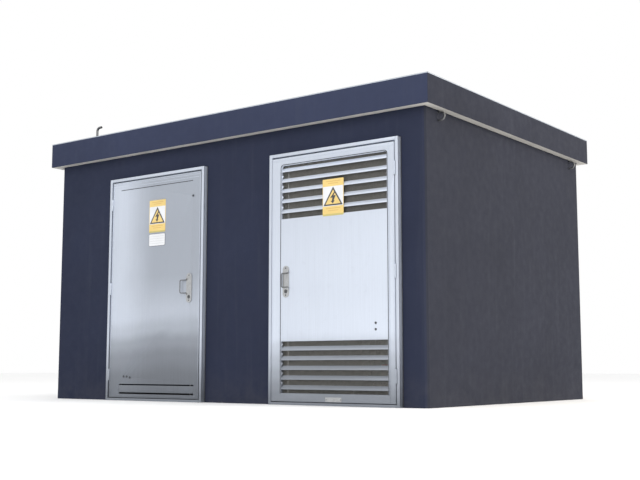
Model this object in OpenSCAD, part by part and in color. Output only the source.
// Prefabricated transformer kiosk: concrete walls and roof, two aluminium doors, and the plant inside.
// The origin is at the centre of the walls on the ground, +X runs along the front to the right,
// the doors face -Y, and +Z is up. All sizes are in millimetres.

/* [Building] */
// Length of the walls along the front
wall_len = 4320; // [4100:10:5400]
// Depth of the walls from front to back
wall_depth = 2950; // [2700:10:3700]
// Height of the underside of the roof skirt above the ground
eaves_h = 2340; // [2260:5:2850]
// Thickness of the wall panels
wall_t = 90; // [70:5:120]
// Thickness of the floor slab
floor_t = 60; // [50:2:75]
// Width of the chamfer on the vertical corners
corner_chamfer = 25; // [5:1:40]
// Overhang of the roof beyond the walls
overhang = 80; // [60:2:140]
// Height of the roof edge
fascia_h = 240; // [200:5:320]
// Thickness of the roof slab inside the skirt
roof_t = 110; // [80:5:140]
// Gap between the walls and the roof skirt
roof_clear = 6; // [3:1:15]
// Thickness of the partition between the two rooms
partition_t = 60; // [40:5:90]

/* [Doors] */
// Distance from the left end of the front to the left door frame
left_margin = 785; // [400:5:800]
// Distance from the right door frame to the right end of the front
right_margin = 220; // [180:5:400]
// Outer width of the left door frame
left_door_w = 1240; // [1000:5:1400]
// Outer width of the right door frame
right_door_w = 1305; // [1050:5:1400]
// Outer height of both door frames
door_h = 2120; // [1900:5:2200]
// Width of the frame's front face
frame_face = 27; // [22:1:40]
// How far the frame stands out from the wall
frame_proud = 50; // [42:1:56]
// Overlap of the frame over the wall around the opening
frame_lap = 20; // [10:1:21]
// Gap between the frame and the wall opening
frame_clear = 2; // [1:0.5:6]
// Height of the sill face under the leaves
sill_h = 22; // [16:1:28]
// Gap under the leaves
sill_gap = 8; // [5:1:12]
// Gap above the leaves
head_gap = 14; // [8:1:18]
// Gap at the lock side of the leaves
lock_gap = 6; // [4:1:12]
// Gap at the hinge side of the left leaf
left_hinge_gap = 20; // [8:1:26]
// Gap at the hinge side of the right leaf
right_hinge_gap = 8; // [8:1:26]
// Thickness of the leaves
leaf_t = 45; // [38:1:48]
// Thickness of the leaf skin
leaf_s = 3; // [2:0.5:4]
// Overlap of the frame's stop behind the leaf
stop_lap = 25; // [18:1:32]
// Thickness of the door seal
seal_t = 4.4; // [3:0.1:4.6]
// Width of the door seal
seal_w = 12; // [8:1:15]

/* [Hinges] */
// Diameter of the hinge barrels
barrel_d = 16; // [12:1:18]
// Diameter of the hinge pins
hinge_pin_d = 8; // [6:0.5:9]
// Radial clearance of the hinge pins
hinge_fit = 0.05; // [0.02:0.01:0.1]
// Length of one hinge
hinge_len = 110; // [80:5:140]
// Distance of the outer hinges from the ends of the leaf
hinge_inset = 210; // [150:5:300]

/* [Locks] */
// Distance from the left leaf's free edge to the middle of its lock
left_lock_inset = 129; // [90:1:200]
// Distance from the right leaf's free edge to the middle of its lock
right_lock_inset = 155; // [90:1:200]
// Height of the middle of the lock plates
lock_z = 1022; // [900:1:1200]
// Width of the lock plate
lock_w = 66; // [56:1:80]
// Height of the lock plate
lock_h = 266; // [220:1:320]
// Thickness of the lock plate
lock_t = 5; // [3:0.5:6]
// Reach of the bail handle from its pivot
bail_reach = 68; // [56:1:74]
// Height of the bail handle between the middles of its arms
bail_h = 118; // [106:1:126]
// Diameter of the bail handle's rod
bail_d = 9; // [7:0.5:10]
// Height of the bail's middle above the middle of the plate
bail_up = 12; // [6:1:18]
// Angle by which the left bail is thrown back from the plate
left_bail_open = 170; // [0:5:170]
// Drop of the lock spindle below the middle of the plate
spindle_down = 82; // [78:1:92]
// Diameter of the lock spindle
spindle_d = 16; // [14:1:18]
// Diameter of the lock rods
rod_d = 12; // [10:1:14]
// Travel of the lock rods
rod_travel = 26; // [20:1:28]

/* [Louvres and vents] */
// Width of the stile beside the louvres at the lock side
louvre_lock_stile = 101; // [80:1:160]
// Width of the stile beside the louvres at the hinge side
louvre_hinge_stile = 68; // [45:1:160]
// Height of the upper louvre opening
upper_louvre_h = 463; // [380:1:560]
// Height of the lower louvre opening
lower_louvre_h = 429; // [350:1:520]
// Distance from the top of the leaf to the upper louvre
upper_louvre_drop = 64; // [50:1:110]
// Distance from the bottom of the leaf to the lower louvre
lower_louvre_rise = 65; // [50:1:100]
// Number of blades in each louvre
blade_n = 5; // [3:1:7]
// Height of a louvre blade
blade_h = 36; // [26:1:42]
// Height of the upright lip at the front of a blade
blade_lip = 9; // [6:1:14]
// Distance from the left leaf's hinge edge to the vent
vent_hinge_inset = 135; // [60:5:200]
// Distance from the left leaf's free edge to the vent
vent_lock_inset = 60; // [45:5:90]
// Height of the vent pressed into the left leaf
vent_h = 94; // [80:1:120]
// Distance from the bottom of the left leaf to the vent
vent_rise = 31; // [25:1:60]

/* [Signs] */
// Width of the warning signs
sign_w = 212; // [150:1:260]
// Height of the warning signs
sign_h = 305; // [200:1:320]
// Thickness of the signs and plates
sign_t = 1.5; // [1:0.5:3]
// Height of the notice plate under the left sign
notice_h = 116; // [80:1:130]

/* [Roof and wall fittings] */
// Diameter of the roof pipe
pipe_d = 24; // [18:1:30]
// Wall of the roof pipe
pipe_wall = 3; // [2:0.5:4]
// Height of the roof pipe above the roof
pipe_rise = 197; // [150:1:260]
// Reach of the roof pipe's bent arm
pipe_reach = 75; // [60:1:110]
// Distance of the roof pipe from the left end of the walls
pipe_inset_x = 260; // [160:5:600]
// Distance of the roof pipe from the front of the walls
pipe_inset_y = 220; // [160:5:600]
// Rod diameter of the lifting loops
loop_d = 14; // [10:1:18]
// Spacing between the legs of a lifting loop
loop_gap = 66; // [50:1:76]
// Reach of a lifting loop from the wall
loop_reach = 66; // [58:1:76]
// Distance of the front loops from the front corner
loop_front = 210; // [150:5:500]
// Distance of the rear loops from the rear corner
loop_rear = 205; // [105:5:500]

/* [Medium-voltage switchgear] */
// Width of the switchgear cabinet
mv_w = 1200; // [1050:10:1200]
// Depth of the switchgear cabinet
mv_d = 700; // [600:10:800]
// Height of the switchgear cabinet
mv_h = 1500; // [1300:10:1800]
// Height of the cable compartments
mv_cable_h = 700; // [600:10:750]
// Thickness of the cabinet sheet
sheet_t = 3; // [2:0.5:4]
// Diameter of the switch shafts
switch_shaft_d = 20; // [16:1:24]

/* [Low-voltage board] */
// Width of the low-voltage board
lv_w = 900; // [750:10:1000]
// Depth of the low-voltage board
lv_d = 300; // [250:10:340]
// Height of the low-voltage board
lv_h = 1800; // [1650:10:1900]
// Depth of the low-voltage board's door
lv_door_t = 19; // [15:1:22]

/* [Transformer] */
// Length of the transformer tank
tank_l = 1150; // [1080:10:1380]
// Width of the transformer tank
tank_w = 480; // [400:10:580]
// Height of the transformer tank
tank_h = 950; // [850:10:1050]
// Wall of the transformer tank
tank_t = 5; // [4:0.5:8]
// Depth of the cooling fins on the long sides
fin_d = 130; // [80:5:150]
// Depth of the cooling fins on the ends
end_fin_d = 90; // [60:5:120]
// Thickness of a cooling fin
fin_t = 8; // [5:1:12]
// Spacing of the cooling fins
fin_pitch = 55; // [40:1:70]
// Spacing of the three high-voltage bushings
mv_bushing_pitch = 280; // [220:5:290]
// Spacing of the four low-voltage bushings
lv_bushing_pitch = 150; // [100:5:170]
// Diameter of a winding
winding_d = 300; // [240:5:320]
// Diameter of a core limb
limb_d = 130; // [110:5:150]
// Height of a winding
winding_h = 440; // [380:5:480]
// Height of the support rails
rail_h = 80; // [60:5:120]
// Distance between the support rails
rail_gauge = 520; // [460:10:560]
// Height of the damping pads
pad_h = 40; // [20:5:60]

/* [Cables] */
// Diameter of the medium-voltage cables
mv_cable_d = 32; // [26:1:36]
// Diameter of the low-voltage cables
lv_cable_d = 28; // [22:1:34]
// Bend radius of the cables
cable_bend = 110; // [90:5:130]
// Spacing of the medium-voltage cables
mv_cable_pitch = 60; // [50:1:64]

/* [Hidden] */
$fn = 48;

paint = "#3a3f54";
concrete = "#9a9a96";
alloy = "#c4cbd9";
zinc = "#a7abb0";
steel = "#7d8288";
light_grey = "#c9ccc8";
dark_rubber = "#26262a";
yellow = "#e5c878";
copper = "#b87333";
porcelain = "#6b3a25";

eps = 1;
run_gap = 0.3;
half_len = wall_len / 2;
half_depth = wall_depth / 2;
wall_top = eaves_h + fascia_h - roof_t;
roof_top = eaves_h + fascia_h;
inner_x = half_len - wall_t;
inner_y = half_depth - wall_t;

// Doors: local x starts at the frame's outer edge on the hinge side
left_frame_x = -half_len + left_margin;
right_frame_x = half_len - right_margin;
face_y = -half_depth - frame_proud;
leaf_back_y = face_y + leaf_t;
leaf_z0 = sill_h + sill_gap;
leaf_z1 = door_h - frame_face - head_gap;
stop_y = -half_depth;
function door_w(d) = d == 0 ? left_door_w : right_door_w;
function hinge_gap(d) = d == 0 ? left_hinge_gap : right_hinge_gap;
function hinge_x(d) = frame_face + hinge_gap(d) / 2;
function leaf_x0(d) = frame_face + hinge_gap(d);
function leaf_x1(d) = door_w(d) - frame_face - lock_gap;
function leaf_w(d) = leaf_x1(d) - leaf_x0(d);
function lock_x(d) = leaf_x1(d) - (d == 0 ? left_lock_inset : right_lock_inset);
hinge_z = [leaf_z0 + hinge_inset, (leaf_z0 + leaf_z1) / 2, leaf_z1 - hinge_inset];
hinge_plate_t = 3;
hinge_relief = 2;
return_w = 30;

// Locks
plate_y = face_y - lock_t;
ear_h = 12;
ear_r = 6.5;
bail_axis_out = 7;
bail_axis_y = plate_y - bail_axis_out;
bail_stub_d = 6;
bail_z = lock_z + bail_up;
spindle_z = lock_z - spindle_down;
spindle_fit = 0.05;
rod_y = face_y + 33;
case_w = 64;
case_h = 140;
case_d = 40;
case_t = 3;
tip_inset = 2;
strike_w = 20;
frame_seam = 0.2;
rebate_y = face_y + 22;
rod_hole_r = rod_d / 2 + run_gap;
keep_clear = 1;
function bail_x(d) = lock_x(d) - lock_w / 2 + ear_r;

// Louvres
upper_louvre_z1 = leaf_z1 - upper_louvre_drop;
upper_louvre_z0 = upper_louvre_z1 - upper_louvre_h;
lower_louvre_z0 = leaf_z0 + lower_louvre_rise;
lower_louvre_z1 = lower_louvre_z0 + lower_louvre_h;
louvre_x0 = leaf_x0(1) + louvre_hinge_stile;
louvre_x1 = leaf_x1(1) - louvre_lock_stile;
louvre_rim = 14;
louvre_corner = 22;
blade_t = 2.5;
louvre_d = 24;
mesh_wire = 2;
mesh_pitch = 115;

// Rooms and plant
partition_x = (left_frame_x + left_door_w + right_frame_x - right_door_w) / 2 + 140;
room_x0 = partition_x + partition_t / 2;
tank_x = (room_x0 + inner_x) / 2;
tank_y = 50;
pad_z = floor_t + rail_h;
tank_z0 = pad_z + pad_h;
tank_z1 = tank_z0 + tank_h;
cover_t = 12;
cover_z1 = tank_z1 + cover_t;
cover_lap = 35;
mv_bushing_x = tank_x + 110;
lv_bushing_x = tank_x - 125;
mv_bushing_h = 330;
lv_bushing_h = 230;
yoke = limb_d;
tap_x = tank_x;
tap_y = tank_y - tank_l / 2 + 90;
drain_z = tank_z0 + 90;
drain_y = tank_y - tank_l / 2 - end_fin_d - 60;
valve_fit = 0.05;

mv_x0 = -inner_x + 120;
mv_y0 = inner_y - 50 - mv_d;
mv_y1 = mv_y0 + mv_d;
mv_z1 = floor_t + mv_h;
mv_shelf_z = floor_t + mv_cable_h;
mv_bay = mv_w / 3;
switch_z = mv_shelf_z + (mv_h - mv_cable_h) * 0.55;
switch_fit = 0.05;

lv_x1 = partition_x - partition_t / 2;
lv_x0 = lv_x1 - lv_d;
lv_y0 = tank_y - lv_w / 2;
lv_y1 = lv_y0 + lv_w;
lv_z1 = floor_t + lv_h;
lv_hinge_x = lv_x0 - lv_door_t / 2 - 0.5;
lv_hinge_y = lv_y0 - 9;
lv_barrel_r = 7;
lv_hinge_z = [floor_t + 260, lv_z1 - 260];
lv_switch_z = floor_t + 1350;
fuse_z0 = floor_t + 700;
fuse_h = 560;

lv_run_z = cover_z1 + lv_bushing_h + cable_bend + 20;
mv_run_z = cover_z1 + mv_bushing_h + cable_bend + 20;
mv_low_z = floor_t + 100;
function lv_bushing_y(k) = tank_y + (k - 1.5) * lv_bushing_pitch;
function mv_bushing_y(k) = tank_y + (1 - k) * mv_bushing_pitch;
function mv_rear_y(k) = inner_y - 95 - (2 - k) * mv_cable_pitch;
function mv_rise_x(k) = mv_x0 + 2.5 * mv_bay + (k - 1) * 100;

// ---- helpers ----

module slab(low, high) {
    translate(low) cube(high - low);
}

module at_door(d) {
    if (d == 0) translate([left_frame_x, 0, 0]) children();
    else translate([right_frame_x, 0, 0]) mirror([1, 0, 0]) children();
}

module rod_z(x, y, z0, z1, r) {
    translate([x, y, z0]) cylinder(r = r, h = z1 - z0);
}

// A round bar along +Y from y0 to y1
module rod_along_y(x, z, y0, y1, r) {
    translate([x, y0, z]) rotate([-90, 0, 0]) cylinder(r = r, h = y1 - y0);
}

// A round bar along +X from x0 to x1
module rod_along_x(y, z, x0, x1, r) {
    translate([x0, y, z]) rotate([0, 90, 0]) cylinder(r = r, h = x1 - x0);
}

function unit(v) = v / norm(v);

// A quarter bend at a corner, from direction u to direction v
module quarter_bend(corner, u, v, bend, r) {
    w = cross(u, v);
    c = corner - bend * u + bend * v;
    multmatrix([
        [-v[0], u[0], w[0], c[0]],
        [-v[1], u[1], w[1], c[1]],
        [-v[2], u[2], w[2], c[2]],
        [0, 0, 0, 1]
    ])
        rotate_extrude(angle = 90) translate([bend, 0]) circle(r = r);
}

// A round bar from a to b, along any one axis
module straight(a, b, r) {
    d = unit(b - a);
    translate(a)
        rotate(d[2] != 0 ? [d[2] > 0 ? 0 : 180, 0, 0] : d[1] != 0 ? [d[1] > 0 ? -90 : 90, 0, 0]
            : [0, d[0] > 0 ? 90 : -90, 0])
            cylinder(r = r, h = norm(b - a));
}

// A bent bar through corners that are joined along the axes
module bent_bar(path, bend, r) {
    last = len(path) - 1;
    for (i = [0 : last - 1]) {
        d = unit(path[i + 1] - path[i]);
        a = i == 0 ? path[0] : path[i] + bend * d;
        b = i == last - 1 ? path[last] : path[i + 1] - bend * d;
        straight(a, b, r);
        if (i < last - 1) quarter_bend(path[i + 1], d, unit(path[i + 2] - path[i + 1]), bend, r);
    }
}

// Outline with two round ends, upright
module pill(w, h) {
    square([w, h - w], center = true);
    for (s = [-1, 1]) translate([0, s * (h - w) / 2]) circle(d = w);
}

// ---- building ----

// Plan of a wall panel that faces -Y, mitred at both ends
module panel_plan(end_x, end_y) {
    c = corner_chamfer;
    polygon([
        [-end_x + c, -end_y], [end_x - c, -end_y], [end_x - c / 2, -end_y + c / 2],
        [end_x - wall_t, -end_y + wall_t], [-end_x + wall_t, -end_y + wall_t],
        [-end_x + c / 2, -end_y + c / 2]
    ]);
}

module wall_panel(end_x, end_y) {
    linear_extrude(height = wall_top) panel_plan(end_x, end_y);
}

module base_slab() {
    color(concrete) difference() {
        slab([-inner_x, -inner_y, 0], [inner_x, inner_y, floor_t]);
        slab([mv_x0 + 40, mv_y0 + 60, -eps], [mv_x0 + mv_w - 40, mv_y1 - 110, floor_t + eps]);
        slab([lv_x0 + 40, lv_y0 + 60, -eps], [lv_x1 - 60, lv_y1 - 60, floor_t + eps]);
        slab([tank_x - 170, tank_y - 380, -eps], [tank_x + 170, tank_y + 380, floor_t + eps]);
    }
}

module doorway_cut(d) {
    at_door(d) slab(
        [frame_lap - frame_clear, -half_depth - eps, -eps],
        [door_w(d) - frame_lap + frame_clear, -inner_y + eps, door_h - frame_lap + frame_clear]
    );
}

module front_wall() {
    color(paint) difference() {
        wall_panel(half_len, half_depth);
        for (d = [0, 1]) doorway_cut(d);
    }
}

module rear_wall() {
    color(paint) rotate([0, 0, 180]) wall_panel(half_len, half_depth);
}

loop_z = eaves_h - 6 - loop_d / 2 - loop_gap / 2;
loop_y = [-half_depth + loop_front, half_depth - loop_rear];
loop_hold = 55;

module loop_holes(side) {
    for (y = loop_y, s = [-1, 1])
        rod_along_x(
            y, loop_z + s * loop_gap / 2,
            side > 0 ? half_len - loop_hold : -half_len - eps,
            side > 0 ? half_len + eps : -half_len + loop_hold,
            loop_d / 2 + run_gap
        );
}

module left_wall() {
    color(paint) difference() {
        rotate([0, 0, -90]) wall_panel(half_depth, half_len);
        loop_holes(-1);
    }
}

module right_wall() {
    color(paint) difference() {
        rotate([0, 0, 90]) wall_panel(half_depth, half_len);
        loop_holes(1);
    }
}

module lifting_loop(x, y, side) {
    turn_x = x + side * (loop_reach - loop_gap / 2 - loop_d / 2);
    for (s = [-1, 1])
        rod_along_x(
            y, loop_z + s * loop_gap / 2,
            side > 0 ? x - loop_hold + 1 : turn_x, side > 0 ? turn_x : x + loop_hold - 1, loop_d / 2
        );
    translate([turn_x, y, loop_z])
        rotate([90, 0, 0]) rotate([0, 0, side > 0 ? -90 : 90])
            rotate_extrude(angle = 180) translate([loop_gap / 2, 0]) circle(d = loop_d);
}

module lifting_loops() {
    color(steel) for (y = loop_y) {
        lifting_loop(half_len, y, 1);
        lifting_loop(-half_len, y, -1);
    }
}

mv_hole_y0 = mv_rear_y(0) - mv_cable_d / 2 - 14;
mv_hole_y1 = mv_rear_y(2) + mv_cable_d / 2 + 14;
mv_hole_half = mv_cable_d / 2 + 14;

module lv_cable_hole(x0, x1) {
    slab(
        [x0, lv_bushing_y(0) - 40, lv_run_z - lv_cable_d / 2 - 14],
        [x1, lv_bushing_y(3) + 40, lv_run_z + lv_cable_d / 2 + 14]
    );
}

module mv_cable_hole(x0, x1) {
    slab([x0, mv_hole_y0, mv_low_z - mv_hole_half], [x1, mv_hole_y1, mv_low_z + mv_hole_half]);
}

module partition_wall() {
    color(light_grey) difference() {
        slab([lv_x1, -inner_y, floor_t], [room_x0, inner_y, wall_top]);
        lv_cable_hole(lv_x1 - eps, room_x0 + eps);
        mv_cable_hole(lv_x1 - eps, room_x0 + eps);
    }
}

pipe_x = -half_len + pipe_inset_x;
pipe_y = -half_depth + pipe_inset_y;
pipe_bend = 36;
pipe_low_z = wall_top - 30;

module roof_slab() {
    roof_x = half_len + overhang;
    roof_y = half_depth + overhang;
    hollow_x = half_len + roof_clear;
    hollow_y = half_depth + roof_clear;
    color(paint) difference() {
        slab([-roof_x, -roof_y, eaves_h], [roof_x, roof_y, roof_top]);
        slab([-hollow_x, -hollow_y, eaves_h - eps], [hollow_x, hollow_y, wall_top]);
        rod_z(pipe_x, pipe_y, wall_top - eps, roof_top + eps, pipe_d / 2 + run_gap);
    }
}

module pipe_path(r) {
    bent_bar([
        [pipe_x, pipe_y, pipe_low_z],
        [pipe_x, pipe_y, roof_top + pipe_rise - pipe_d / 2],
        [pipe_x + pipe_reach - pipe_d / 2, pipe_y, roof_top + pipe_rise - pipe_d / 2]
    ], pipe_bend, r);
}

module roof_pipe() {
    color(steel) difference() {
        pipe_path(pipe_d / 2);
        pipe_path(pipe_d / 2 - pipe_wall);
    }
}

fixing_w = 90;
fixing_leg = 80;
fixing_t = 8;

// Angle bracket between the top of a side wall and the roof
module roof_fixing(side, y) {
    x = side * inner_x;
    difference() {
        slab(
            [min(x, x - side * fixing_leg), y - fixing_w / 2, wall_top - fixing_leg],
            [max(x, x - side * fixing_leg), y + fixing_w / 2, wall_top]
        );
        slab(
            [
                min(x - side * fixing_t, x - side * (fixing_leg + eps)),
                y - fixing_w,
                wall_top - fixing_leg - eps
            ],
            [max(x - side * fixing_t, x - side * (fixing_leg + eps)), y + fixing_w, wall_top - fixing_t]
        );
    }
    rod_z(x - side * 45, y, wall_top - fixing_t - 10, wall_top - fixing_t, 11);
    rod_along_x(
        y, wall_top - 45, side > 0 ? x - fixing_t - 10 : x + fixing_t,
        side > 0 ? x - fixing_t : x + fixing_t + 10, 11
    );
}

module roof_fixings() {
    color(zinc) for (side = [-1, 1], s = [-1, 1]) roof_fixing(side, s * half_depth * 0.55);
}

module lamp() {
    x = lv_x1 - 330;
    z = eaves_h - 100;
    color(light_grey) {
        rod_along_y(x, z, -inner_y, -inner_y + 28, 92);
        rod_along_y(x, z, -inner_y + 28, -inner_y + 70, 78);
    }
}

earth_z = floor_t + 300;
module earth_bar() {
    y0 = -500;
    color(copper) {
        slab([-inner_x + 40, y0, earth_z], [-inner_x + 46, y0 + 600, earth_z + 40]);
        for (y = [y0 + 80, y0 + 520])
            rod_along_x(y, earth_z + 20, -inner_x, -inner_x + 40, 16);
    }
}

// ---- doors ----

// Four bars of the proud frame between two depths, with hairline seams at the corners
module frame_bars(d, y0, y1) {
    w = door_w(d);
    head_x = frame_face + frame_seam;
    for (x = [0, w - frame_face]) slab([x, y0, 0], [x + frame_face, y1, door_h]);
    slab([head_x, y0, door_h - frame_face], [w - head_x, y1, door_h]);
    slab([head_x, y0, 0], [w - head_x, y1, sill_h]);
}

// Face bars, and rebate bars behind them that leave a gap for each lock rod
module door_frame(d) {
    color(alloy) at_door(d) {
        difference() {
            frame_bars(d, face_y, rebate_y - frame_seam);
            for (z = hinge_z) hinge_notch(d, z);
        }
        difference() {
            frame_bars(d, rebate_y, stop_y);
            slab(
                [lock_x(d) - strike_w / 2, rebate_y - eps, -eps],
                [lock_x(d) + strike_w / 2, stop_y + eps, door_h + eps]
            );
        }
    }
}

// Lining of the doorway through the wall, whose front edge is the stop of the leaf
module door_lining(d) {
    at_door(d) difference() {
        slab([frame_lap, stop_y, 0], [door_w(d) - frame_lap, -inner_y, door_h - frame_lap]);
        slab(
            [leaf_x0(d) + stop_lap, stop_y - eps, floor_t],
            [leaf_x1(d) - stop_lap, -inner_y + eps, leaf_z1 - stop_lap]
        );
    }
}

module door_linings() {
    color(alloy) for (d = [0, 1]) door_lining(d);
}

module left_door_frame() { door_frame(0); }
module right_door_frame() { door_frame(1); }

module hinge_notch(d, z) {
    half = max(barrel_d / 2 + hinge_relief, hinge_gap(d) / 2);
    slab(
        [hinge_x(d) - half, face_y - eps, z - hinge_len / 2 - hinge_relief],
        [hinge_x(d) + half, face_y + barrel_d / 2 + hinge_relief, z + hinge_len / 2 + hinge_relief]
    );
}

module seal_ring(d) {
    x0 = leaf_x0(d) + stop_lap - seal_w;
    x1 = leaf_x1(d) - stop_lap + seal_w;
    z0 = floor_t - seal_w;
    z1 = leaf_z1 - stop_lap + seal_w;
    at_door(d) difference() {
        slab([x0, stop_y - seal_t, z0], [x1, stop_y, z1]);
        slab([x0 + seal_w, stop_y - seal_t - eps, z0 + seal_w], [x1 - seal_w, stop_y + eps, z1 - seal_w]);
    }
}

module door_seals() {
    color(dark_rubber) for (d = [0, 1]) seal_ring(d);
}

hinge_slot = 0.5;
plate_y0 = face_y - 2;
plate_y1 = face_y + leaf_t - 8;

module frame_hinge(d, z) {
    x = hinge_x(d);
    g = hinge_gap(d) / 2;
    rod_z(x, face_y, z - hinge_len / 2, z - hinge_slot, barrel_d / 2);
    rod_z(x, face_y, z - hinge_slot - eps, z + hinge_len / 2 - 4, hinge_pin_d / 2);
    slab([x - g, plate_y0, z - hinge_len / 2], [x - g + hinge_plate_t, plate_y1, z - hinge_slot]);
    // Web between the barrel and the plate
    slab([x - g, plate_y0, z - hinge_len / 2], [x, face_y + hinge_plate_t, z - hinge_slot]);
}

module frame_hinges() {
    color(zinc) for (d = [0, 1]) at_door(d) for (z = hinge_z) frame_hinge(d, z);
}

module leaf_hinge(d, z) {
    x = hinge_x(d);
    g = hinge_gap(d) / 2;
    difference() {
        union() {
            rod_z(x, face_y, z, z + hinge_len / 2, barrel_d / 2);
            slab([x + g - hinge_plate_t, plate_y0, z], [x + g, plate_y1, z + hinge_len / 2]);
            slab([x, plate_y0, z], [x + g, face_y + hinge_plate_t, z + hinge_len / 2]);
        }
        rod_z(x, face_y, z - eps, z + hinge_len / 2 - 3, hinge_pin_d / 2 + hinge_fit);
    }
}

module leaf_hinges(d) {
    color(zinc) at_door(d) for (z = hinge_z) leaf_hinge(d, z);
}

module left_leaf_hinges() { leaf_hinges(0); }
module right_leaf_hinges() { leaf_hinges(1); }

// Sheet tray with returned edges at the back
module leaf_tray(d) {
    low = [leaf_x0(d), face_y, leaf_z0];
    high = [leaf_x1(d), leaf_back_y, leaf_z1];
    difference() {
        slab(low, high);
        slab(low + [leaf_s, leaf_s, leaf_s], high - [leaf_s, leaf_s, leaf_s]);
        slab(low + [return_w, leaf_s, return_w], high + [-return_w, eps, -return_w]);
        for (z = hinge_z) hinge_notch(d, z);
        rod_along_y(lock_x(d), spindle_z, face_y - eps, face_y + leaf_s + eps, spindle_d / 2 + 1);
        rod_z(lock_x(d), rod_y, leaf_z0 - eps, leaf_z0 + leaf_s + eps, rod_hole_r);
        rod_z(lock_x(d), rod_y, leaf_z1 - leaf_s - eps, leaf_z1 + eps, rod_hole_r);
    }
}

// Rib behind the skin, from the hinge edge to short of the lock rods
module leaf_rib(d, z) {
    slab(
        [leaf_x0(d) + leaf_s, face_y + leaf_s, z - 20],
        [lock_x(d) - case_w / 2 - 12, face_y + leaf_s + 22, z + 20]
    );
}

vent_x0 = leaf_x0(0) + vent_hinge_inset;
vent_w = leaf_w(0) - vent_hinge_inset - vent_lock_inset;
vent_z0 = leaf_z0 + vent_rise;
vent_z1 = vent_z0 + vent_h;
vent_rim = 10;

module left_door_leaf() {
    color(alloy) at_door(0) difference() {
        union() {
            leaf_tray(0);
            for (z = [leaf_z0 + 560, leaf_z1 - 560]) leaf_rib(0, z);
        }
        slab([vent_x0, face_y - eps, vent_z0], [vent_x0 + vent_w, face_y + leaf_s + eps, vent_z1]);
        for (p = left_bolt_at) bolt_hole(p[0], p[1]);
    }
}

// Pressed vent: a plain strip between an upper and a lower slot
module left_vent() {
    back = face_y + leaf_s;
    slot_top = 12;
    slot_low = 16;
    color(alloy) at_door(0) difference() {
        union() {
            slab(
                [vent_x0 - vent_rim, back, vent_z0 - vent_rim],
                [vent_x0 + vent_w + vent_rim, back + 3, vent_z1 + vent_rim]
            );
            slab(
                [vent_x0 + 2, face_y, vent_z0 + slot_low],
                [vent_x0 + vent_w - 2, back + 3, vent_z1 - slot_top]
            );
        }
        slab(
            [vent_x0 + 2, face_y - eps, vent_z1 - slot_top],
            [vent_x0 + vent_w - 2, back + 4, vent_z1 - 1]
        );
        slab(
            [vent_x0 + 2, face_y - eps, vent_z0 + 1],
            [vent_x0 + vent_w - 2, back + 4, vent_z0 + slot_low]
        );
    }
}

module louvre_cut(z0, z1) {
    slab([louvre_x0, face_y - eps, z0], [louvre_x1, face_y + leaf_s + eps, z1]);
}

module right_door_leaf() {
    color(alloy) at_door(1) difference() {
        union() {
            leaf_tray(1);
            for (z = [lower_louvre_z1 + 42, upper_louvre_z0 - 60]) leaf_rib(1, z);
        }
        louvre_cut(upper_louvre_z0, upper_louvre_z1);
        louvre_cut(lower_louvre_z0, lower_louvre_z1);
        for (p = right_bolt_at) bolt_hole(p[0], p[1]);
    }
}

// One blade: an upright lip in front, and a plate that slopes up and back
module louvre_blade(z) {
    y0 = face_y + 2;
    y1 = face_y + louvre_d;
    foot = z - blade_h / 2;
    head = z + blade_h / 2;
    lip_top = foot + blade_lip;
    translate([louvre_x0 + 2, 0, 0]) rotate([90, 0, 90])
        linear_extrude(height = louvre_x1 - louvre_x0 - 4) polygon([
            [y0, foot], [y0 + blade_t, foot], [y0 + blade_t, lip_top - blade_t],
            [y1, head - blade_t], [y1, head], [y0, lip_top]
        ]);
}

// Louvre box behind the skin, with its blades in the opening
module louvre(z0, z1, first, pitch) {
    back = face_y + leaf_s;
    difference() {
        slab(
            [louvre_x0 - louvre_rim, back, z0 - louvre_rim],
            [louvre_x1 + louvre_rim, face_y + louvre_d, z1 + louvre_rim]
        );
        slab([louvre_x0 + 2, back - eps, z0 + 2], [louvre_x1 - 2, face_y + louvre_d + eps, z1 - 2]);
    }
    intersection() {
        for (i = [0 : blade_n - 1]) louvre_blade(first - i * pitch);
        slab([louvre_x0, face_y, z0 + 1], [louvre_x1, face_y + louvre_d, z1 - 1]);
    }
}

upper_pitch = upper_louvre_h * 0.191;
lower_pitch = lower_louvre_h * 0.186;

module upper_louvre() {
    color(alloy) at_door(1)
        louvre(upper_louvre_z0, upper_louvre_z1, upper_louvre_z1 - upper_louvre_h * 0.088, upper_pitch);
}

module lower_louvre() {
    color(alloy) at_door(1)
        louvre(lower_louvre_z0, lower_louvre_z1, lower_louvre_z1 - lower_louvre_h * 0.139, lower_pitch);
}

// Guard mesh fixed to the back of a louvre box
module guard_mesh(z0, z1) {
    y0 = face_y + louvre_d;
    slab([louvre_x0 - 8, y0, z0 - 8], [louvre_x0 + 4, y0 + 2 * mesh_wire, z1 + 8]);
    slab([louvre_x1 - 4, y0, z0 - 8], [louvre_x1 + 8, y0 + 2 * mesh_wire, z1 + 8]);
    nz = floor((z1 - z0) / mesh_pitch);
    nx = floor((louvre_x1 - louvre_x0) / mesh_pitch);
    for (i = [0 : nz]) {
        z = z0 + i * (z1 - z0) / nz;
        slab([louvre_x0, y0, z - mesh_wire / 2], [louvre_x1, y0 + mesh_wire, z + mesh_wire / 2]);
    }
    for (i = [1 : nx - 1]) {
        x = louvre_x0 + i * (louvre_x1 - louvre_x0) / nx;
        slab([x - mesh_wire / 2, y0, z0 - 1], [x + mesh_wire / 2, y0 + mesh_wire, z1 + 1]);
    }
}

module louvre_mesh() {
    color(steel) at_door(1) {
        guard_mesh(upper_louvre_z0, upper_louvre_z1);
        guard_mesh(lower_louvre_z0, lower_louvre_z1);
    }
}

// ---- locks ----

ear_z = [bail_z - bail_h / 2, bail_z + bail_h / 2];

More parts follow.
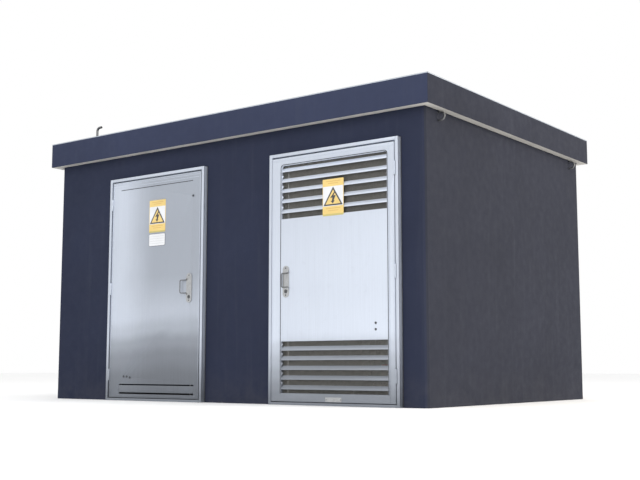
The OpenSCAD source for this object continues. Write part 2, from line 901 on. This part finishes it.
module lock_plate(d) {
    x = lock_x(d);
    color(zinc) at_door(d) difference() {
        union() {
            translate([x, face_y, lock_z])
                rotate([90, 0, 0]) linear_extrude(height = lock_t) pill(lock_w, lock_h);
            for (s = [-1, 1]) {
                z = bail_z + s * (bail_h / 2 + bail_d / 2 + keep_clear + ear_h / 2);
                rod_z(bail_x(d), bail_axis_y, z - ear_h / 2, z + ear_h / 2, ear_r);
                slab(
                    [bail_x(d) - ear_r, bail_axis_y, z - ear_h / 2],
                    [bail_x(d) + ear_r, plate_y + eps, z + ear_h / 2]
                );
            }
        }
        rod_z(bail_x(d), bail_axis_y, bail_z - bail_h, bail_z + bail_h, bail_stub_d / 2 + hinge_fit);
        rod_along_y(x, spindle_z, plate_y - eps, face_y + eps, spindle_d / 2 + spindle_fit);
    }
}

module left_lock_plate() { lock_plate(0); }
module right_lock_plate() { lock_plate(1); }

// Bent rod with stub pins in the ears, turned away from the plate by an angle
module bail(d, angle) {
    r = bail_d / 2;
    stub = ear_h + keep_clear - 2;
    color(steel) at_door(d) translate([bail_x(d), bail_axis_y, bail_z]) rotate([0, 0, -angle]) {
        for (s = [-1, 1]) {
            translate([0, 0, s * bail_h / 2]) {
                rotate([0, 90, 0]) cylinder(r = r, h = bail_reach);
                sphere(r = r);
                translate([bail_reach, 0, 0]) sphere(r = r);
            }
            translate([0, 0, s > 0 ? bail_h / 2 : -bail_h / 2 - r - stub])
                cylinder(d = bail_stub_d, h = r + stub);
        }
        translate([bail_reach, 0, -bail_h / 2]) cylinder(r = r, h = bail_h);
    }
}

module left_bail() { bail(0, left_bail_open); }
module right_bail() { bail(1, 0); }

module lock_case(d) {
    x = lock_x(d);
    y0 = face_y + leaf_s;
    y1 = y0 + case_d;
    color(zinc) at_door(d) difference() {
        slab([x - case_w / 2, y0, spindle_z - case_h / 2], [x + case_w / 2, y1, spindle_z + case_h / 2]);
        slab(
            [x - case_w / 2 + case_t, y0 - eps, spindle_z - case_h / 2 + case_t],
            [x + case_w / 2 - case_t, y1 - case_t, spindle_z + case_h / 2 - case_t]
        );
        rod_along_y(x, spindle_z, y1 - case_t - eps, y1 + eps, 5 + spindle_fit);
        rod_z(x, rod_y, spindle_z - case_h, spindle_z + case_h, rod_hole_r);
    }
}

module left_lock_case() { lock_case(0); }
module right_lock_case() { lock_case(1); }

cam_y = face_y + leaf_s + 2;
cam_t = 6;

// Turning spindle with a square key socket in front and a cam inside the case
module lock_spindle(d) {
    x = lock_x(d);
    color(steel) at_door(d) difference() {
        union() {
            rod_along_y(x, spindle_z, plate_y - 2, plate_y - run_gap, 11);
            rod_along_y(x, spindle_z, plate_y - run_gap - 0.5, cam_y + cam_t, spindle_d / 2);
            rod_along_y(x, spindle_z, cam_y, cam_y + cam_t, 18);
            rod_along_y(x, spindle_z, cam_y, face_y + leaf_s + case_d, 5);
        }
        slab([x - 4, plate_y - 2 - eps, spindle_z - 4], [x + 4, plate_y + 8, spindle_z + 4]);
    }
}

module left_lock_spindle() { lock_spindle(0); }
module right_lock_spindle() { lock_spindle(1); }

rod_end = 35;

module rod_upper(d) {
    color(zinc) at_door(d) rod_z(lock_x(d), rod_y, spindle_z + rod_end, leaf_z1 - tip_inset, rod_d / 2);
}

module rod_lower(d) {
    color(zinc) at_door(d) rod_z(lock_x(d), rod_y, leaf_z0 + tip_inset, spindle_z - rod_end, rod_d / 2);
}

module left_rod_upper() { rod_upper(0); }
module left_rod_lower() { rod_lower(0); }
module right_rod_upper() { rod_upper(1); }
module right_rod_lower() { rod_lower(1); }

// ---- signs and bolts ----

sign_x0 = left_frame_x + 550;
sign_z0 = leaf_z1 - 520;
notice_gap = 12;

module left_signs() {
    color(yellow)
        slab([sign_x0, face_y - sign_t, sign_z0], [sign_x0 + sign_w, face_y, sign_z0 + sign_h]);
    color("white")
        slab(
            [sign_x0, face_y - sign_t, sign_z0 - notice_gap - notice_h],
            [sign_x0 + sign_w, face_y, sign_z0 - notice_gap]
        );
}

right_sign_x0 = right_frame_x - (louvre_x0 + louvre_x1) / 2 - sign_w / 2 + 10;
right_sign_z0 = upper_louvre_z0 - 12;
maker_plate = [160, 36];

module right_signs() {
    x0 = right_sign_x0 + 25;
    color(yellow)
        slab(
            [right_sign_x0, face_y - sign_t, right_sign_z0],
            [right_sign_x0 + sign_w, face_y, right_sign_z0 + sign_h]
        );
    color(light_grey)
        slab(
            [x0, face_y - sign_t, leaf_z0 + 3],
            [x0 + maker_plate[0], face_y, leaf_z0 + 3 + maker_plate[1]]
        );
}

bolt_r = 10;
bolt_h = 4;

// Round-headed bolt through the skin, with a nut behind it
module stay_bolt(x, z) {
    rod_along_y(x, z, face_y - bolt_h, face_y, bolt_r);
    rod_along_y(x, z, face_y - 1, face_y + leaf_s + 8, 3);
    rod_along_y(x, z, face_y + leaf_s, face_y + leaf_s + 5, 6);
}

module bolt_hole(x, z) {
    rod_along_y(x, z, face_y - eps, face_y + leaf_s + eps, 3 + run_gap);
}

left_bolt_at = [
    [leaf_x0(0) + 198, leaf_z0 + 193], [leaf_x0(0) + 239, leaf_z0 + 193], [leaf_x0(0) + 280, leaf_z0 + 184],
    [leaf_x1(0) - 95, leaf_z1 - 218]
];
right_bolt_at = [[leaf_x0(1) + 180, lower_louvre_z1 + 81], [leaf_x0(1) + 180, lower_louvre_z1 + 131]];

module left_bolts() {
    color(steel) at_door(0) for (p = left_bolt_at) stay_bolt(p[0], p[1]);
}

module right_bolts() {
    color(steel) at_door(1) for (p = right_bolt_at) stay_bolt(p[0], p[1]);
}

// ---- medium-voltage switchgear ----

function bay_x(i) = mv_x0 + (i + 0.5) * mv_bay;

module switchgear_cabinet() {
    x1 = mv_x0 + mv_w;
    color(light_grey) difference() {
        slab([mv_x0, mv_y0, floor_t], [x1, mv_y1, mv_z1]);
        // Drive and tank compartment, relieved at the back
        slab(
            [mv_x0 + sheet_t, mv_y0 + sheet_t, mv_shelf_z + sheet_t],
            [x1 - sheet_t, mv_y1 - sheet_t, mv_z1 - sheet_t]
        );
        slab([mv_x0 + 200, mv_y1 - sheet_t - eps, mv_shelf_z + 200], [x1 - 200, mv_y1 + eps, mv_z1 - 200]);
        for (i = [0 : 2])
            slab(
                [mv_x0 + i * mv_bay + sheet_t, mv_y0 - eps, floor_t - eps],
                [mv_x0 + (i + 1) * mv_bay - sheet_t, mv_y1 - sheet_t, mv_shelf_z]
            );
        for (i = [0 : 2])
            rod_along_y(
                bay_x(i), switch_z, mv_y0 - eps, mv_y0 + sheet_t + eps, switch_shaft_d / 2 + switch_fit
            );
        mv_cable_hole(x1 - sheet_t - eps, x1 + eps);
    }
}

cover_gap = 4;
module switchgear_covers() {
    color(light_grey) for (i = [0 : 2])
        slab(
            [mv_x0 + i * mv_bay + cover_gap, mv_y0 - 14, floor_t + 40],
            [mv_x0 + (i + 1) * mv_bay - cover_gap, mv_y0, mv_shelf_z + 10]
        );
}

// Rotary switch drive: shaft, disc and grip bar
module switch_handle(i) {
    x = bay_x(i);
    y0 = mv_y0 - run_gap;
    color(dark_rubber) {
        rod_along_y(x, switch_z, y0 - 2, mv_y0 + 60, switch_shaft_d / 2);
        rod_along_y(x, switch_z, y0 - 10, y0, 46);
        slab([x - 10, y0 - 34, switch_z - 44], [x + 10, y0 - 9, switch_z + 44]);
    }
}

module switch_handle_1() { switch_handle(0); }
module switch_handle_2() { switch_handle(1); }
module switch_handle_3() { switch_handle(2); }

// ---- low-voltage board ----

module lv_cabinet() {
    color(light_grey) {
        difference() {
            slab([lv_x0, lv_y0, floor_t], [lv_x1, lv_y1, lv_z1]);
            slab(
                [lv_x0 - eps, lv_y0 + sheet_t, floor_t + sheet_t],
                [lv_x1 - sheet_t, lv_y1 - sheet_t, lv_z1 - sheet_t]
            );
            slab(
                [lv_x0 + 40, lv_y0 + 60, floor_t - eps],
                [lv_x1 - 60, lv_y1 - 60, floor_t + sheet_t + eps]
            );
            lv_cable_hole(lv_x1 - sheet_t - eps, lv_x1 + eps);
        }
        for (z = lv_hinge_z) {
            rod_z(lv_hinge_x, lv_hinge_y, z - 40, z - 0.5, lv_barrel_r);
            rod_z(lv_hinge_x, lv_hinge_y, z - 2, z + 34, 3.5);
            slab([lv_hinge_x, lv_hinge_y - 3, z - 40], [lv_x0 + 30, lv_hinge_y + 3, z - 0.5]);
            slab([lv_x0 + 2, lv_hinge_y - 3, z - 40], [lv_x0 + 30, lv_y0 + eps, z - 0.5]);
        }
    }
}

module lv_door() {
    x0 = lv_x0 - 0.5 - lv_door_t;
    x1 = lv_x0 - 0.5;
    color(light_grey) difference() {
        union() {
            difference() {
                slab([x0, lv_y0, floor_t + 4], [x1, lv_y1, lv_z1]);
                slab(
                    [x0 + sheet_t, lv_y0 + sheet_t, floor_t + 4 + sheet_t],
                    [x1 + eps, lv_y1 - sheet_t, lv_z1 - sheet_t]
                );
            }
            for (z = lv_hinge_z) {
                rod_z(lv_hinge_x, lv_hinge_y, z, z + 40, lv_barrel_r);
                slab([lv_hinge_x - 3, lv_hinge_y, z], [lv_hinge_x + 3, lv_y0 + eps, z + 40]);
            }
        }
        for (z = lv_hinge_z) rod_z(lv_hinge_x, lv_hinge_y, z - eps, z + 36, 3.5 + hinge_fit);
        rod_along_x(tank_y, lv_switch_z, x0 - eps, x0 + sheet_t + eps, 8 + switch_fit);
    }
}

module lv_main_switch() {
    x0 = lv_x0 - 0.5 - lv_door_t - run_gap;
    color(dark_rubber) {
        rod_along_x(tank_y, lv_switch_z, x0 - 2, x0 + 14, 8);
        rod_along_x(tank_y, lv_switch_z, x0 - 10, x0, 42);
        slab([x0 - 40, tank_y - 11, lv_switch_z - 40], [x0 - 9, tank_y + 11, lv_switch_z + 40]);
    }
}

module lv_fuse_ways() {
    w = 70;
    color(dark_rubber) for (k = [0 : 3])
        difference() {
            slab(
                [lv_x1 - sheet_t - 110, lv_bushing_y(k) - w / 2, fuse_z0],
                [lv_x1 - sheet_t, lv_bushing_y(k) + w / 2, fuse_z0 + fuse_h]
            );
            for (j = [0 : 2])
                slab(
                    [lv_x1 - sheet_t - 111, lv_bushing_y(k) - w / 2 + 9, fuse_z0 + 20 + j * 180],
                    [lv_x1 - sheet_t - 90, lv_bushing_y(k) + w / 2 - 9, fuse_z0 + 160 + j * 180]
                );
        }
}

// ---- transformer ----

fin_z0 = tank_z0 + 100;
fin_z1 = tank_z1 - 70;

module fin_row(span, depth) {
    n = floor((span - 60) / fin_pitch);
    for (i = [0 : n])
        translate([(i - n / 2) * fin_pitch - fin_t / 2, 0, fin_z0])
            cube([fin_t, depth + 1, fin_z1 - fin_z0]);
}

module transformer_tank() {
    hw = tank_w / 2;
    hl = tank_l / 2;
    color(steel) difference() {
        union() {
            slab([tank_x - hw, tank_y - hl, tank_z0], [tank_x + hw, tank_y + hl, tank_z1]);
            slab(
                [tank_x - hw - cover_lap, tank_y - hl - cover_lap, tank_z1 - 12],
                [tank_x + hw + cover_lap, tank_y + hl + cover_lap, tank_z1]
            );
            for (s = [-1, 1]) {
                translate([tank_x + s * (hw - 1), tank_y, 0])
                    rotate([0, 0, -90 * s]) fin_row(tank_l, fin_d);
                translate([tank_x, tank_y + s * (hl - 1), 0])
                    rotate([0, 0, s > 0 ? 0 : 180]) fin_row(tank_w, end_fin_d);
            }
            for (s = [-1, 1])
                slab(
                    [tank_x + s * rail_gauge / 2 - 45, tank_y - hl + 40, tank_z0],
                    [tank_x + s * rail_gauge / 2 + 45, tank_y + hl - 40, tank_z0 + 60]
                );
            // Drain pipe and valve body
            rod_along_y(tank_x, drain_z, drain_y, tank_y - hl + 1, 18);
            rod_z(tank_x, drain_y + 18, drain_z - 18, drain_z + 40, 20);
        }
        slab(
            [tank_x - hw + tank_t, tank_y - hl + tank_t, tank_z0 + tank_t],
            [tank_x + hw - tank_t, tank_y + hl - tank_t, tank_z1 + eps]
        );
        rod_z(tank_x, drain_y + 18, drain_z, drain_z + 41, 8 + valve_fit);
        rod_along_y(tank_x, drain_z, drain_y - eps, tank_y - hl + tank_t + eps, 10);
    }
}

module drain_wheel() {
    y = drain_y + 18;
    color("firebrick") {
        rod_z(tank_x, y, drain_z + 14, drain_z + 66, 8);
        translate([tank_x, y, drain_z + 58]) rotate_extrude() translate([34, 0]) circle(r = 5);
        for (a = [0, 60, 120])
            translate([tank_x, y, drain_z + 58]) rotate([0, 0, a]) cube([66, 7, 6], center = true);
    }
}

module transformer_cover() {
    hw = tank_w / 2 + cover_lap;
    hl = tank_l / 2 + cover_lap;
    color(steel) difference() {
        union() {
            slab([tank_x - hw, tank_y - hl, tank_z1], [tank_x + hw, tank_y + hl, cover_z1]);
            for (s = [-1, 1]) difference() {
                slab(
                    [tank_x - 8, tank_y + s * 490 - 45, cover_z1 - 1],
                    [tank_x + 8, tank_y + s * 490 + 45, cover_z1 + 80]
                );
                rod_along_x(tank_y + s * 490, cover_z1 + 48, tank_x - 9, tank_x + 9, 17);
            }
            rod_z(tank_x - 125, tank_y - tank_l / 2 + 90, cover_z1 - 1, cover_z1 + 70, 22);
        }
        rod_z(tap_x + 80, tap_y, tank_z1 - eps, cover_z1 + eps, 8 + valve_fit);
    }
}

module tap_knob() {
    color(dark_rubber) {
        rod_z(tap_x + 80, tap_y, tank_z1 - 30, cover_z1 + 2, 8);
        rod_z(tap_x + 80, tap_y, cover_z1 + run_gap, cover_z1 + 24, 30);
        slab([tap_x + 80 - 6, tap_y - 26, cover_z1 + 20], [tap_x + 80 + 6, tap_y + 26, cover_z1 + 44]);
    }
}

limb_pitch = winding_d + 30;
core_z0 = tank_z0 + tank_t;
limb_z0 = core_z0 + yoke;

module transformer_core() {
    half = limb_pitch + yoke / 2;
    color(steel) {
        for (z = [core_z0, limb_z0 + winding_h])
            slab([tank_x - yoke / 2, tank_y - half, z], [tank_x + yoke / 2, tank_y + half, z + yoke]);
        for (k = [-1, 0, 1])
            rod_z(tank_x, tank_y + k * limb_pitch, limb_z0, limb_z0 + winding_h, limb_d / 2 - 4);
    }
    color(copper) for (k = [-1, 0, 1])
        translate([tank_x, tank_y + k * limb_pitch, limb_z0 + run_gap]) difference() {
            cylinder(d = winding_d, h = winding_h - 16);
            translate([0, 0, -eps]) cylinder(d = limb_d, h = winding_h + 2 * eps);
        }
}

// Ribbed insulator on a round foot, with a terminal stud on top
module bushing(r, h, sheds) {
    pitch = (h - 90) / sheds;
    rotate_extrude() polygon(concat(
        [[0, 0], [r, 0], [r, 22], [r * 0.6, 30]],
        [for (i = [0 : sheds - 1]) each [
            [r * 0.6, 34 + i * pitch], [r, 34 + (i + 0.45) * pitch],
            [r, 34 + (i + 0.6) * pitch], [r * 0.6, 34 + (i + 0.75) * pitch]
        ]],
        [[r * 0.6, h - 50], [r * 0.35, h - 40], [r * 0.35, h], [0, h]]
    ));
}

module bushings() {
    color(porcelain) {
        for (k = [0 : 2])
            translate([mv_bushing_x, mv_bushing_y(k), cover_z1]) bushing(50, mv_bushing_h, 5);
        for (k = [0 : 3])
            translate([lv_bushing_x, lv_bushing_y(k), cover_z1]) bushing(38, lv_bushing_h, 2);
    }
}

pad_at = [for (sx = [-1, 1], sy = [-1, 1]) [tank_x + sx * rail_gauge / 2, tank_y + sy * tank_l * 0.36]];

module transformer_pads() {
    color(dark_rubber) for (p = pad_at)
        slab([p[0] - 40, p[1] - 50, pad_z], [p[0] + 40, p[1] + 50, tank_z0]);
}

module transformer_rails() {
    color(zinc) for (s = [-1, 1]) {
        x = tank_x + s * rail_gauge / 2;
        difference() {
            slab([x - 40, tank_y - tank_l * 0.72, floor_t], [x + 40, tank_y + tank_l * 0.72, pad_z]);
            for (t = [-1, 1])
                slab(
                    [t > 0 ? x + 5 : x - 41, tank_y - tank_l, floor_t + 8],
                    [t > 0 ? x + 41 : x - 5, tank_y + tank_l, pad_z - 8]
                );
        }
    }
}

// ---- cables ----

module mv_cables() {
    color("#8f2a22") for (k = [0 : 2]) {
        x = mv_bushing_x;
        y0 = mv_bushing_y(k);
        y1 = mv_rear_y(k);
        z1 = mv_run_z + k * (mv_cable_d + 28);
        union() {
            bent_bar([
                [x, y0, cover_z1 + mv_bushing_h], [x, y0, z1], [x, y1, z1], [x, y1, mv_low_z],
                [mv_rise_x(k), y1, mv_low_z], [mv_rise_x(k), y1, mv_shelf_z]
            ], cable_bend - 20, mv_cable_d / 2);
            rod_z(mv_rise_x(k), y1, mv_shelf_z - 170, mv_shelf_z, 24);
            rod_z(x, y0, cover_z1 + mv_bushing_h, cover_z1 + mv_bushing_h + 45, 22);
        }
    }
}

lv_drop_x = lv_x1 - sheet_t - 60;
module lv_cables() {
    color("#2b2b2e") for (k = [0 : 3])
        bent_bar([
            [lv_bushing_x, lv_bushing_y(k), cover_z1 + lv_bushing_h],
            [lv_bushing_x, lv_bushing_y(k), lv_run_z],
            [lv_drop_x - 40, lv_bushing_y(k), lv_run_z], [lv_drop_x - 40, lv_bushing_y(k), fuse_z0 + fuse_h]
        ], cable_bend - 10, lv_cable_d / 2);
}

base_slab();
front_wall();
rear_wall();
left_wall();
right_wall();
partition_wall();
roof_slab();
roof_fixings();
lifting_loops();
roof_pipe();
left_door_frame();
right_door_frame();
door_linings();
door_seals();
frame_hinges();
lamp();
earth_bar();
left_door_leaf();
left_leaf_hinges();
left_vent();
left_lock_plate();
left_lock_case();
left_signs();
left_bolts();
left_bail();
left_lock_spindle();
left_rod_upper();
left_rod_lower();
right_door_leaf();
right_leaf_hinges();
upper_louvre();
lower_louvre();
louvre_mesh();
right_lock_plate();
right_lock_case();
right_signs();
right_bolts();
right_bail();
right_lock_spindle();
right_rod_upper();
right_rod_lower();
switchgear_cabinet();
switchgear_covers();
switch_handle_1();
switch_handle_2();
switch_handle_3();
lv_cabinet();
lv_door();
lv_main_switch();
lv_fuse_ways();
transformer_tank();
transformer_cover();
transformer_core();
bushings();
tap_knob();
drain_wheel();
transformer_pads();
transformer_rails();
mv_cables();
lv_cables();
